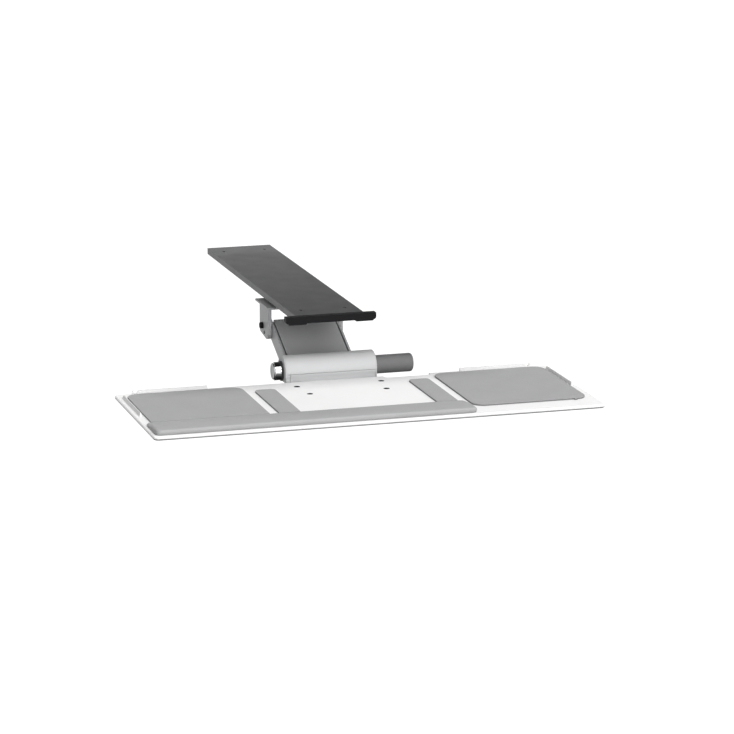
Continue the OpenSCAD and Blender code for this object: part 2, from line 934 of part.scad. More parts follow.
module board_bracket() {
    low = board_low - plate_bracket_t;
    reach = cradle_reach;
    color("gray")
    difference() {
        union() {
            translate([0, 0, low]) linear_extrude(plate_bracket_t) bracket_outline();
            both_across(tilt_ear_in, tilt_ear_out) tilt_ear_shape();
            across(-cradle_half, cradle_half) {
                translate([bracket_back - 10, low])
                    square([tilt[0] + reach - bracket_back + 10, plate_bracket_t]);
                translate([tilt[0] - reach, low])
                    square([2 * reach, tilt[1] - cradle_r * 0.8 - low]);
            }
        }
        rod(tilt, trunnion_r + fit, -arm_w, arm_w);
        rod(tilt, cradle_r, -cradle_half - cut, cradle_half + cut);
        hull()
            for (side = sides)
                translate([-side * nut_travel, tilt[0] + side * cradle_r * sin(tilt_max), low + plate_bracket_t])
                    cylinder(r = nut_pin_r + 0.6, h = cradle_r, $fn = 32);
        for (at = screws)
            translate([at[0], at[1], low - cut])
                cylinder(d = board_screw_d, h = plate_bracket_t + 2 * cut);
    }
}

module front_panel() {
    turn = [cos(panel_turn_angle), sin(panel_turn_angle)];
    outer = tilt + housing_r * turn;
    inner = tilt + (housing_r - panel_wall) * turn;
    root = tilt + (housing_r - panel_wall / 2) * [cos(panel_turn_angle - 8), sin(panel_turn_angle - 8)];
    lap = outer[0] - panel_lap;
    color("gainsboro") {
        across(-cap_in, cap_in) {
            arc_wall(housing_r, panel_wall, 180 + seam_angle + panel_seam, panel_turn_angle);
            arc_wall(tongue_r, tongue_wall, tongue_top_angle, tongue_low_angle);
            polygon([outer, root, inner, [inner[0], board_low], [outer[0], board_low]]);
        }
        across(-head_lug_out, head_lug_out)
            translate([lap, board_low]) square([inner[0] - lap, panel_foot_t]);
    }
}

module board_screws() {
    reach = board_t + plate_bracket_t + 1;
    head = (board_screw_head - board_screw_d) / 2;
    color("#1c1c1c")
    for (at = screws)
        translate([at[0], at[1], board_top]) {
            translate([0, 0, -reach]) cylinder(d = board_screw_d, h = reach);
            translate([0, 0, -head]) cylinder(d1 = board_screw_d, d2 = board_screw_head, h = head);
        }
}

// A plate with a full round edge
module round_edge_plate(low, size, r, t) {
    e = t / 2;
    translate([0, 0, -t])
        linear_extrude(t)
            round_rect(low + [e, e], size - [t, t], r - e);
    translate([low[0], low[1], -e]) {
        for (y = [e, size[1] - e])
            translate([r, y, 0]) rotate([0, 90, 0]) cylinder(r = e, h = size[0] - 2 * r);
        for (x = [e, size[0] - e])
            translate([x, r, 0]) rotate([-90, 0, 0]) cylinder(r = e, h = size[1] - 2 * r);
        for (corner = [[0, 0, 180], [1, 0, 270], [1, 1, 0], [0, 1, 90]])
            translate([corner[0] > 0 ? size[0] - r : r, corner[1] > 0 ? size[1] - r : r, 0])
                rotate([0, 0, corner[2]])
                    rotate_extrude(angle = 90) translate([r - e, 0]) circle(r = e, $fn = 32);
    }
}

module board() {
    head = (board_screw_head - board_screw_d) / 2;
    corner = scallop_d * 0.6;
    color("white")
    difference() {
        translate([0, 0, board_top])
            round_edge_plate([-board_w / 2, front_edge], [board_w, board_d], board_r, board_t);
        translate([0, 0, board_low - cut])
            linear_extrude(board_t + 2 * cut)
                round_rect([scallop_left, back_edge - scallop_d],
                           [scallop_right - scallop_left, scallop_d + 2 * corner], corner);
        for (at = screws)
            translate([at[0], at[1], board_top]) {
                translate([0, 0, -board_t - cut]) cylinder(d = board_screw_d, h = board_t + 2 * cut);
                translate([0, 0, -head]) cylinder(d1 = board_screw_d, d2 = board_screw_head, h = head);
            }
    }
}

// One round corner of the palm rest
module palm_corner(r, h, round) {
    steps = 5;
    rotate_extrude($fn = 32)
        polygon(concat(
            [[0, 0], [r - 1, 0], [r, 1]],
            [for (i = [0 : steps])
                let (a = 90 * i / steps)
                [r - round + round * cos(a), h - round + round * sin(a)]],
            [[0, h]]
        ));
}

// The rest is highest along its front and slopes down to the pads behind it
module palm_rest() {
    front_r = 9;
    back_r = 14;
    crown = 0.8;
    back_round = 1.5;
    front = front_edge + palm_front;
    color("darkgray")
    translate([palm_x, front, board_top])
        hull() {
            for (x = [front_r, palm_l - front_r])
                translate([x, front_r, 0]) palm_corner(front_r, palm_h, palm_round);
            for (x = [back_r, palm_l - back_r])
                translate([x, palm_d - back_r, 0]) palm_corner(back_r, palm_back_h, back_round);
            translate([palm_d / 2, palm_d * 0.3, 1])
                cube([palm_l - palm_d, palm_d / 8, palm_h + crown - 1]);
        }
}

// A flat sheet on the board with round corners, or with square ones where it meets the palm rest
module sheet(low, size, r, t, square_front) {
    translate([0, 0, board_top])
        linear_extrude(t) {
            round_rect(low, size, r);
            if (square_front) translate(low) square([size[0], r + 2]);
        }
}

module left_mouse_pad() {
    front = palm_back + gap;
    back = back_edge - pad_back;
    color("darkgray")
    sheet([-pad_out, front], [pad_w, back - front], pad_r, pad_t, true);
}

module right_mouse_pad() {
    tab_w = 4.5;
    tab_l = 4;
    tab_x = pad_out - pad_r - tab_w;
    front = back_edge - pad_back - pad_d;
    color("darkgray") {
        sheet([pad_out - pad_w, front], [pad_w, pad_d], pad_r, pad_t, false);
        translate([tab_x, front - tab_l, board_top]) cube([tab_w, tab_l + 2, pad_t * 0.7]);
    }
}

module grip_strip(side) {
    r = 8;
    front = palm_back + gap;
    back = back_edge - strip_back;
    inner = strip_x - strip_w;
    low = [side > 0 ? inner : -strip_x, front];
    color("darkgray")
    sheet(low, [strip_w, back - front], r, strip_t, true);
}

module left_grip_strip() { grip_strip(-1); }
module right_grip_strip() { grip_strip(1); }

// The section of a fence: [across, up] from the middle of its foot
function fence_section(foot) = [
    [-foot / 2, 0], [foot / 2, 0], [fence_top_t / 2, fence_h], [-fence_top_t / 2, fence_h]
];

module back_fence(side) {
    end = side * (board_w / 2 - fence_side);
    start = end - side * fence_l;
    y = back_edge - board_t / 2 - fence_t / 2;
    notch = end - side * notch_x;
    color("white")
    translate([0, y, board_top])
        difference() {
            translate([min(start, end), 0, 0])
                rotate([90, 0, 90])
                    linear_extrude(fence_l)
                        polygon(fence_section(fence_t));
            translate([notch, 0, notch_z + notch_w / 2])
                rotate([90, 0, 0])
                    cylinder(d = notch_w, h = 2 * fence_t, center = true);
            translate([notch - notch_w / 2, -fence_t, notch_z + notch_w / 2])
                cube([notch_w, 2 * fence_t, fence_h]);
        }
}

module left_back_fence() { back_fence(-1); }
module right_back_fence() { back_fence(1); }

module side_fence(side) {
    x = side * (board_w / 2 - side_fence_x);
    back = back_edge - side_fence_back;
    slant = fence_h * 0.6;
    color("white")
    translate([x, back, board_top])
        intersection() {
            rotate([90, 0, 0])
                linear_extrude(side_fence_l)
                    polygon(fence_section(side_fence_t));
            across(-side_fence_t, side_fence_t)
                polygon([
                    [-side_fence_l, 0], [0, 0], [-slant, fence_h], [slant - side_fence_l, fence_h]
                ]);
        }
}

module left_side_fence() { side_fence(-1); }
module right_side_fence() { side_fence(1); }

track_rail();
front_bar();
rear_stop();
carriage();
left_glide();
right_glide();
thrust_washer();
swivel_bolt();
swivel_nut();
swivel_disc();
pivot_bracket();
bracket_rivets();
upper_pin();
upper_pin_heads();
ear_rivets();
upper_link_pin();
lift_springs();
arm_left_plate();
arm_right_plate();
arm_cover();
arm_floor();
arm_spacers();
upper_bushes();
lower_bushes();
levelling_link();
tilt_head();
lower_pin();
lower_pin_heads();
lower_link_pin();
left_trunnion();
right_trunnion();
housing_cover();
left_end_cap();
right_end_cap();
knob_ring();
release_spring();
tilt_knob();
knob_cap();
tilt_screw();
tilt_nut();
handle_core();
rubber_grip();
board_bracket();
front_panel();
board_screws();
board();
palm_rest();
left_mouse_pad();
right_mouse_pad();
left_grip_strip();
right_grip_strip();
left_back_fence();
right_back_fence();
left_side_fence();
right_side_fence();
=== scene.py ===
# %% [markdown]
# # A keyboard tray on a sliding, swivelling, lifting and tilting arm
# The measured solids come first and stay where they are: they are the frame of this lesson.
# Each cell then adds one thing that solids alone lack: a camera, a finish, a soft rest, a rounded
# edge or a wound spring. Every length is in metres, +Z is up and the user sits towards -Y.

# %% Load the measured solids
import json
import math

import bmesh
import bpy
from mathutils import Matrix, Vector


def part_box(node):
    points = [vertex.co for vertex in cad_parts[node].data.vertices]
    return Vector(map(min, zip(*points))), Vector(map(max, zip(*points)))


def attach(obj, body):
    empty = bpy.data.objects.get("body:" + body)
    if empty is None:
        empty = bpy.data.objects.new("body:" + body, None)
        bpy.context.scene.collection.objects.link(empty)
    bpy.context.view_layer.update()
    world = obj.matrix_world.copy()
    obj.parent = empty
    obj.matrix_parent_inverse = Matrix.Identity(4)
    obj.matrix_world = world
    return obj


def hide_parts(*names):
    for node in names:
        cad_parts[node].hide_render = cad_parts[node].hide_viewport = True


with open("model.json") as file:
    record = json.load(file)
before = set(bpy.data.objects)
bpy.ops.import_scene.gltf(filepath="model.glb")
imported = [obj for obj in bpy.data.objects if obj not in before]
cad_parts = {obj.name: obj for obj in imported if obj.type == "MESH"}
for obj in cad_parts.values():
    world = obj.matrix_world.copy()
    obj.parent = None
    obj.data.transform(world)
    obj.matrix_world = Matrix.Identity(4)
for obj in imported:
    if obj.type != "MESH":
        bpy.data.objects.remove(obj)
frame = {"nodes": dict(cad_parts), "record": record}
nodes = frame["nodes"]
body_of_node = {
    node: body
    for body, members in frame["record"]["behaviour"]["bodies"].items()
    for node in members
}
slot_of_node = {row["node"]: row["material_slot"] for row in frame["record"]["subparts"]}
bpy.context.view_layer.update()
MM = 0.001

# %% [markdown]
# ## The camera
# The tray is seen from the front left and from a little above, through a long lens, so the far
# edge of the board is hardly narrower than the near one. A long lens is a large focal length; the
# angles were found by matching the board's four corners, its screws and the front bar.

# %% Place the camera
focal_length = 162.95
looks_down = 13.258
looks_right = 16.6465

lens = bpy.data.cameras.new("long_lens")
lens.sensor_width = 36
lens.lens = focal_length
lens.clip_end = 80
camera = bpy.data.objects.new("camera", lens)
camera.location = (-1.36366, -5.03798, 1.08323)
camera.rotation_euler = (math.radians(90 - looks_down), 0, math.radians(-looks_right))
bpy.context.scene.collection.objects.link(camera)
bpy.context.scene.camera = camera
print("camera", [round(x, 3) for x in camera.location], "lens", lens.lens)

# %% [markdown]
# ## A small language for finishes
# A finish is a tree of nodes. Wiring it by hand takes many lines, so one small class wraps an
# output socket: plus, minus and times then add Math nodes, and one method adds any other node. The
# order matters: settings go first, because they change which sockets exist.

# %% Wrap a socket


class Wire:
    """An output socket of a finish, which takes part in sums like a number."""

    def __init__(self, tree, output=None):
        self.tree = tree
        self.output = output

    def node(self, kind, settings, sockets, out=0):
        """Adds a node, gives it its settings, fills its sockets and returns one of its outputs."""
        made = self.tree.nodes.new(kind)
        for name, value in settings.items():
            if name == "stops":
                self.ramp(made.color_ramp, value)
            else:
                setattr(made, name, value)
        for name, value in sockets.items():
            if isinstance(value, Wire):
                self.tree.links.new(value.output, made.inputs[name])
            else:
                made.inputs[name].default_value = value
        return Wire(self.tree, made.outputs[out])

    def ramp(self, ramp, stops):
        """Sets a colour ramp to greys at given places."""
        while len(ramp.elements) < len(stops):
            ramp.elements.new(1)
        for element, (place, grey) in zip(ramp.elements, stops):
            element.position = place
            element.color = (grey, grey, grey, 1)

    def maths(self, operation, a, b=0.0):
        """Adds a Math node on one or two wires or numbers."""
        return self.node("ShaderNodeMath", {"operation": operation}, {0: a, 1: b})

    def __add__(self, other):
        return self.maths("ADD", self, other)

    def __radd__(self, other):
        return self.maths("ADD", other, self)

    def __sub__(self, other):
        return self.maths("SUBTRACT", self, other)

    def __rsub__(self, other):
        return self.maths("SUBTRACT", other, self)

    def __mul__(self, other):
        return self.maths("MULTIPLY", self, other)


print("a wire takes plus, minus and times")

# %% [markdown]
# ## What most finishes share
# Most surfaces here have a colour that drifts a little, a gloss that drifts with it, and a fine
# relief. The helper below makes those three from noise on Object coordinates, which stay with a
# piece when it moves. The relief is given in real heights, so it has the right depth at any zoom.

# %% Start a finish and give it a drifting colour


def start_finish(name):
    """A new finish with one Principled shader, and a wire that sees the piece's own coordinates."""
    finish = bpy.data.materials.new(name)
    finish.use_nodes = True
    tree = finish.node_tree
    tree.nodes.clear()
    output = tree.nodes.new("ShaderNodeOutputMaterial")
    shader = tree.nodes.new("ShaderNodeBsdfPrincipled")
    tree.links.new(shader.outputs["BSDF"], output.inputs["Surface"])
    place = Wire(tree).node("ShaderNodeTexCoord", {}, {}, "Object")
    return finish, shader, place


def noise(place, size, detail=3.0):
    """Noise whose blotches are about that many metres across."""
    return place.node("ShaderNodeTexNoise", {}, {"Vector": place, "Scale": 1 / size, "Detail": detail})


def axes_of(place):
    """The three coordinates of each point of a piece."""
    split = place.node("ShaderNodeSeparateXYZ", {}, {"Vector": place}).output.node
    return [Wire(place.tree, socket) for socket in split.outputs]


def mix(factor, first, second):
    """A colour between two colours, each a wire or red, green and blue."""
    first, second = [c if isinstance(c, Wire) else (*c, 1) for c in (first, second)]
    return factor.node("ShaderNodeMix", {"data_type": "RGBA"}, {0: factor, 6: first, 7: second}, 2)


def feed(shader, socket, wire):
    """Joins a wire to one socket of a shader."""
    wire.tree.links.new(wire.output, shader.inputs[socket])


def relief(shader, height, depth, strength):
    """Turns heights from 0 to 1 into a relief that many metres deep."""
    feed(shader, "Normal", height.node(
        "ShaderNodeBump", {}, {"Strength": strength, "Distance": depth, "Height": height}, "Normal"
    ))


def drifting(shader, place, low, high, gloss, size):
    """Colour and roughness that drift together over blotches of one size."""
    drift = noise(place, size)
    feed(shader, "Base Color", mix(drift, low, high))
    feed(shader, "Roughness", gloss[0] + drift * (gloss[1] - gloss[0]))


finishes = {}
print("finish helpers are ready")

# %% [markdown]
# ## White board and white fences
# The board is a thin white laminate with a faint pebble that keeps a keyboard from sliding and
# breaks up reflections. The fences are moulded in a plastic of nearly the same white, smoother,
# with a slight flow mark. Both stay below pure white so that light can still shade them. The
# board's lowest 2.4 mm are painted grey, which shows as a thin dark line round the lower edge:
# painted shade. A comparison of the height with that band's own height picks between the two colours.

# %% Make the two whites
# The lowest 2.4 mm of the board are painted grey: painted shade along its lower edge.
edge_shade_height = 2.4 * MM
edge_shade_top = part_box("board")[0].z + edge_shade_height
edge_shade_grey = (0.36, 0.36, 0.363)

finish, shader, place = start_finish("board_white")
drift = noise(place, 0.05)
face_white = mix(drift, (0.86, 0.86, 0.855), (0.89, 0.89, 0.888))
is_face = place.maths("GREATER_THAN", axes_of(place)[2], edge_shade_top)
feed(shader, "Base Color", mix(is_face, edge_shade_grey, face_white))
feed(shader, "Roughness", 0.42 + drift * 0.12)
pebble = noise(place, 0.9 * MM, 2.0)
relief(shader, pebble, 0.05 * MM, 0.6)
shader.inputs["Specular IOR Level"].default_value = 0.4
finishes["board_white"] = finish

finish, shader, place = start_finish("fence_white")
drifting(shader, place, (0.63, 0.63, 0.627), (0.68, 0.68, 0.678), (0.34, 0.46), 0.02)
relief(shader, noise(place, 3 * MM), 0.03 * MM, 0.5)
finishes["fence_white"] = finish
print("whites:", [f.name for f in finishes.values()])

# %% [markdown]
# ## Grey cloth of the mouse pads and strips
# A mouse pad has a woven face on foam. A weave is two sets of threads that pass over and under:
# the product of two sine waves, one along each side, gives a height that looks like that, with
# the threads a little under a millimetre apart. A soft sheen on the shader stands in for lint. The
# lowest 2.1 mm are painted a darker grey, picked by height as the board's painted shade is: painted
# shade on the sides of the pads and strips, which shows as a dark line below the cloth.

# %% Make the woven grey
side_shade_height = 2.1 * MM
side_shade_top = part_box("left_mouse_pad")[0].z + side_shade_height
side_shade_grey = (0.16, 0.16, 0.163)


def woven(name, low, high, pitch):
    """Grey cloth with threads that many metres apart."""
    finish, shader, place = start_finish(name)
    along, across, up = axes_of(place)
    turn = math.tau / pitch
    threads = place.maths("SINE", along * turn) * place.maths("SINE", across * turn)
    height = threads * 0.4 + noise(place, pitch / 2) * 0.5
    drift = noise(place, 0.03)
    # The colour follows the threads' height, darker where they dip: painted shade in the weave.
    shade = drift * 0.8 + threads * 0.15
    # Below this height the cloth is painted a darker grey: painted shade on the sides of the pads and
    # strips.
    is_cloth = place.maths("GREATER_THAN", up, side_shade_top)
    feed(shader, "Base Color", mix(is_cloth, side_shade_grey, mix(shade, low, high)))
    feed(shader, "Roughness", 0.78 + drift * 0.14)
    relief(shader, height, 0.12 * MM, 0.7)
    shader.inputs["Sheen Weight"].default_value = 0.12
    shader.inputs["Sheen Roughness"].default_value = 0.5
    return finish


finishes["pad_grey"] = woven("pad_grey", (0.306, 0.306, 0.309), (0.369, 0.369, 0.373), 0.8 * MM)
print("woven grey is ready")

# %% [markdown]
# ## Grey skin of the palm rest
# The rest is foam under a soft skin with a leather grain: small raised cells with creases between
# them. Voronoi noise measured as the distance to the nearest edge draws such cells, and a ramp
# keeps the creases narrow. The skin is a little glossier on top of its cells than in the creases.

# %% Make the grained skin
cell = 1.3 * MM
finish, shader, place = start_finish("palm_grey")
cells = place.node(
    "ShaderNodeTexVoronoi", {"feature": "DISTANCE_TO_EDGE"}, {"Vector": place, "Scale": 1 / cell}
)
crease = cells.node("ShaderNodeValToRGB", {"stops": [(0.0, 0.0), (0.22, 1.0)]}, {"Fac": cells})
drift = noise(place, 0.04)
# The colour is darker in the creases between the cells: painted shade in the grain.
feed(shader, "Base Color", mix(drift * 0.7 + crease * 0.25, (0.33, 0.33, 0.333), (0.405, 0.405, 0.409)))
feed(shader, "Roughness", 0.66 - crease * 0.12)
relief(shader, crease * 0.8 + noise(place, 0.5 * MM) * 0.2, 0.1 * MM, 0.55)
finishes["palm_grey"] = finish
print("grained skin is ready")

# %% [markdown]
# ## Powder-coated arm, track and screws
# Powder coat melts into a skin with a fine orange peel, so its highlights are broad and slightly
# broken. Two noises of different size make the peel. The arm's cover is mid grey between paler side
# plates, the track is dark, and the screws are matt black.

# %% Make the powder coats


def powder_coat(name, low, high, gloss, shine=0.5):
    """Painted steel with an orange peel."""
    finish, shader, place = start_finish(name)
    drifting(shader, place, low, high, gloss, 0.03)
    peel = noise(place, 1.4 * MM, 1.0) * 0.7 + noise(place, 0.4 * MM, 1.0) * 0.3
    relief(shader, peel, 0.06 * MM, 0.6)
    shader.inputs["Specular IOR Level"].default_value = shine
    finishes[name] = finish


powder_coat("arm_grey", (0.475, 0.477, 0.483), (0.515, 0.517, 0.523), (0.46, 0.58))
powder_coat("arm_silver", (0.46, 0.463, 0.47), (0.53, 0.533, 0.54), (0.4, 0.52))
powder_coat("track_steel", (0.036, 0.037, 0.04), (0.05, 0.051, 0.055), (0.38, 0.5))
powder_coat("black_steel", (0.006, 0.006, 0.007), (0.01, 0.01, 0.011), (0.55, 0.66), 0.0)
print("powder coats are ready")

# %% [markdown]
# ## Silver housing
# The housing round the tilt axis is moulded and sprayed silver: a pale grey with fine flakes that
# catch the light one by one. White noise on a fine grid of cells would be too strong, so a
# Voronoi cell colour picks a slight shade for each flake, and part of the shader is metallic.

# %% Make the silver spray
flake_size = 0.35 * MM
finish, shader, place = start_finish("housing_silver")
flakes = place.node("ShaderNodeTexVoronoi", {}, {"Vector": place, "Scale": 1 / flake_size}, "Color")
flake = flakes.node("ShaderNodeSeparateColor", {}, {"Color": flakes})
drift = noise(place, 0.03)
shade = drift * 0.6 + flake * 0.4
feed(shader, "Base Color", mix(shade, (0.585, 0.588, 0.593), (0.645, 0.648, 0.653)))
feed(shader, "Roughness", 0.5 + shade * 0.14)
shader.inputs["Metallic"].default_value = 0.04
shader.inputs["Specular IOR Level"].default_value = 0.1
relief(shader, noise(place, 0.8 * MM, 1.0), 0.04 * MM, 0.5)
finishes["housing_silver"] = finish
print("silver spray is ready")

# %% [markdown]
# ## Black plastic and the rubber grip
# The front bar, the pin caps and the bushes are black moulded plastic with a spark-eroded grain,
# and the ring behind the knob is a paler black.
# The grip is soft dark grey rubber with shallow flutes along it. The flutes run round the tilt
# axis, so their height is the sine of the angle round that axis, found with an arc tangent.

# %% Make the black plastic and the fluted rubber
grip_low, grip_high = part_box("rubber_grip")
axis_y = (grip_low.y + grip_high.y) / 2
axis_z = (grip_low.z + grip_high.z) / 2


def black_moulding(name, low, high):
    """Black plastic with a spark-eroded grain."""
    finish, shader, place = start_finish(name)
    drifting(shader, place, low, high, (0.5, 0.64), 0.015)
    relief(shader, noise(place, 0.5 * MM, 2.0), 0.08 * MM, 0.7)
    shader.inputs["Specular IOR Level"].default_value = 0.12
    finishes[name] = finish


black_moulding("black_plastic", (0.008, 0.008, 0.009), (0.013, 0.013, 0.014))
black_moulding("ring_plastic", (0.06, 0.06, 0.062), (0.08, 0.08, 0.082))


def round_the_axis(place):
    """Distance from the tilt axis, and the angle round it."""
    y, z = axes_of(place)[1:]
    y = y - axis_y
    z = z - axis_z
    return place.maths("SQRT", y * y + z * z), place.maths("ARCTAN2", z, y)


flute_count = 60.0
finish, shader, place = start_finish("grip_rubber")
distance, angle = round_the_axis(place)
flutes = place.maths("SINE", angle * flute_count) * 0.5 + 0.5
drift = noise(place, 0.012)
# The colour follows the flutes, darker in their hollows: painted shade on the rubber.
shade = drift * 0.8 + flutes * 0.2
feed(shader, "Base Color", mix(shade, (0.15, 0.151, 0.153), (0.21, 0.211, 0.214)))
feed(shader, "Roughness", 0.6 + drift * 0.18)
relief(shader, flutes * 0.6 + noise(place, 0.4 * MM) * 0.4, 0.12 * MM, 0.6)
finishes["grip_rubber"] = finish
print("tilt axis at y", round(axis_y, 4), "z", round(axis_z, 4))

# %% [markdown]
# ## Chrome, satin, steel and brass
# The knob is chrome: a metal that is almost a mirror, with only faint waves left by polishing. Its
# end disc was turned on a lathe, so it has fine rings: noise that changes with the distance from
# the axis and with nothing else. Pins and springs are drawn steel, with short streaks along X, and
# the nut on the tilt screw is brass with the same streaks.

# %% Make the metals


def metal(name, low, high, gloss, height, depth):
    """Bare metal whose colour, gloss and relief follow one set of marks."""
    finish, shader, place = start_finish(name)
    marks = height(place)
    feed(shader, "Base Color", mix(marks, low, high))
    feed(shader, "Roughness", gloss[0] + marks * (gloss[1] - gloss[0]))
    shader.inputs["Metallic"].default_value = 1
    relief(shader, marks, depth, 0.5)
    finishes[name] = finish


def turned_rings(place):
    """Fine rings round the tilt axis."""
    distance, angle = round_the_axis(place)
    along = place.node("ShaderNodeCombineXYZ", {}, {"X": distance})
    return noise(along, 0.25 * MM, 2.0)


def drawn_streaks(place):
    """Short streaks along X."""
    stretched = place.node("ShaderNodeMapping", {}, {"Vector": place, "Scale": (0.06, 1.0, 1.0)})
    return noise(stretched, 0.3 * MM, 2.0)


def polish_waves(place):
    """Faint waves left by polishing."""
    return noise(place, 4 * MM, 1.0)


chrome = ((0.62, 0.625, 0.63), (0.68, 0.685, 0.69), (0.04, 0.1))
satin = ((0.25, 0.252, 0.256), (0.32, 0.322, 0.326), (0.34, 0.46))
steel = ((0.42, 0.425, 0.435), (0.52, 0.525, 0.535), (0.26, 0.4))
brass = ((0.46, 0.3, 0.1), (0.56, 0.38, 0.14), (0.24, 0.36))
metal("knob_chrome", *chrome, polish_waves, 0.01 * MM)
metal("knob_satin", *satin, turned_rings, 0.02 * MM)
metal("bare_steel", *steel, drawn_streaks, 0.02 * MM)
metal("nut_brass", *brass, drawn_streaks, 0.02 * MM)

for node, solid in nodes.items():
    solid.data.materials.clear()
    solid.data.materials.append(finishes[slot_of_node[node]])
print("finishes:", len(finishes))

# %% [markdown]
# ## From a bmesh to a piece of the object
# A finished piece is a mesh whose place is in its vertices, so its object sits at the origin. It
# rides on a body of the frame and takes the finish of the slot of the solid that it stands for. Edges
# flatter than an angle are shaded smooth, and the Weighted Normal modifier keeps flat faces flat.

# %% Turn a bmesh into a piece


def piece(name, shape, node, sharp=40):
    """Makes an object of a bmesh, in the finish and on the body of one solid."""
    bmesh.ops.remove_doubles(shape, verts=shape.verts, dist=1e-7)
    bmesh.ops.recalc_face_normals(shape, faces=shape.faces)
    mesh = bpy.data.meshes.new(name)
    shape.to_mesh(mesh)
    shape.free()
    mesh.materials.append(finishes[slot_of_node[node]])
    mesh.shade_smooth()
    mesh.set_sharp_from_angle(angle=math.radians(sharp))
    made = bpy.data.objects.new(name, mesh)
    bpy.context.scene.collection.objects.link(made)
    weighted = made.modifiers.new("weighted_normal", "WEIGHTED_NORMAL")
    weighted.keep_sharp = True
    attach(made, body_of_node[node])
    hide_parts(node)
    return made


print("pieces take their body and finish from a solid")

# %% [markdown]
# ## Rounded edges on folded and moulded parts
# No real edge is perfectly sharp: a thin bright line along each edge is what makes a part look
# made. A solid's mesh is loose triangles, so a copy has its doubles merged and its flat triangles
# dissolved into whole faces first. Then every edge that turns by more than an angle is bevelled.

# %% Round the edges of copies of the solids


def copy_of(node):
    """A solid as a bmesh of whole faces."""
    shape = bmesh.new()
    shape.from_mesh(nodes[node].data)
    bmesh.ops.remove_doubles(shape, verts=shape.verts, dist=1e-6)
    flat = math.radians(0.3)
    bmesh.ops.dissolve_limit(
        shape, angle_limit=flat, verts=shape.verts, edges=shape.edges, delimit=set()
    )
    return shape


def round_edges(shape, width, turn=40, steps=3, chosen=lambda edge: True):
    """Bevels every chosen edge that turns by more than that many degrees."""
    sharp = [
        edge for edge in shape.edges
        if edge.is_manifold and edge.calc_face_angle(0) > math.radians(turn) and chosen(edge)
    ]
    bmesh.ops.bevel(
        shape, geom=sharp, offset=width, offset_type="OFFSET", segments=steps, profile=0.5,
        affect="EDGES", material=-1, clamp_overlap=True,
    )


edge_widths = {
    "track_rail": 0.4, "front_bar": 0.8, "rear_stop": 0.6, "carriage": 0.4,
    "pivot_bracket": 0.5, "arm_left_plate": 0.5, "arm_right_plate": 0.5, "arm_cover": 0.6,
    "arm_floor": 0.4, "tilt_head": 0.5, "board_bracket": 0.4, "levelling_link": 0.4,
    "left_back_fence": 0.5, "right_back_fence": 0.5, "left_side_fence": 0.5, "right_side_fence": 0.5,
    "swivel_nut": 0.3, "swivel_disc": 0.4, "tilt_nut": 0.3,
}
for node, width in edge_widths.items():
    shape = copy_of(node)
    round_edges(shape, width * MM)
    piece(node + "_edged", shape, node)
print("edged pieces:", len(edge_widths))

# %% [markdown]
# ## Turned parts round the tilt axis
# The knob, its ring, its end disc and the rubber grip are all turned shapes. A half profile
# of a few points is spun round the axis: spin takes edges and sweeps them into faces, and
# use_merge closes a full turn. Sharp corners of the profile get small arcs first.

# %% Spin profiles round the tilt axis
axis_at = Vector((0, axis_y, axis_z))


def arc(centre, radius, start, end, steps=6):
    """Points of an arc in a profile, where a point is a place along X and a distance from the axis."""
    turns = [math.radians(start + (end - start) * i / steps) for i in range(steps + 1)]
    return [(centre[0] + radius * math.cos(t), centre[1] + radius * math.sin(t)) for t in turns]


def spun(profile, closed=True, angle=math.tau, steps=96, start=0.0, at=axis_at):
    """Sweeps a profile round an axis along X, which is the tilt axis unless another is given."""
    shape = bmesh.new()
    points = [shape.verts.new(at + Vector((x, 0, r))) for x, r in profile]
    rows = zip(points, points[1:] + points[:1]) if closed else zip(points, points[1:])
    edges = [shape.edges.new(pair) for pair in rows]
    bmesh.ops.rotate(shape, cent=at, matrix=Matrix.Rotation(start, 3, "X"), verts=points)
    full = angle == math.tau
    bmesh.ops.spin(
        shape, geom=points + edges, cent=at, axis=(1, 0, 0), angle=angle, steps=steps, use_merge=full
    )
    if not full:
        ends = [edge for edge in shape.edges if edge.is_boundary]
        bmesh.ops.holes_fill(shape, edges=ends, sides=0)
    return shape


def rounded_rim(left, right, radius, edge):
    """The outer side of a turned part from right to left, with its two edges rounded."""
    right_edge = arc((right - edge, radius - edge), edge, 0, 90)
    return right_edge + arc((left + edge, radius - edge), edge, 90, 180)


knob_low, knob_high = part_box("tilt_knob")
knob_r = (knob_high.z - knob_low.z) / 2
knob = [(knob_high.x, 0)] + rounded_rim(knob_low.x, knob_high.x, knob_r, 1.3 * MM) + [(knob_low.x, 0)]
piece("tilt_knob_chrome", spun(knob, closed=False, steps=128), "tilt_knob")

disc_low, disc_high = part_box("knob_cap")
disc_r = (disc_high.z - disc_low.z) / 2
disc_edge = 0.5 * MM
dish = disc_low.x + 0.3 * MM
disc = (
    [(disc_high.x, 0), (disc_high.x, disc_r)]
    + arc((disc_low.x + disc_edge, disc_r - disc_edge), disc_edge, 90, 180)
    + [(disc_low.x, disc_r * 0.62), (dish, disc_r * 0.58), (dish, 0)]
)
piece("knob_end_disc", spun(disc, closed=False, steps=128), "knob_cap")

ring_low, ring_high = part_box("knob_ring")
ring_r = (ring_high.z - ring_low.z) / 2
bore = 4.05 * MM
ring_rim = rounded_rim(ring_low.x, ring_high.x, ring_r, 0.6 * MM)
ring = [(ring_high.x, bore)] + ring_rim + [(ring_low.x, bore)]
dark_ring = piece("knob_dark_ring", spun(ring), "knob_ring")
dark_ring.data.materials[0] = finishes["ring_plastic"]

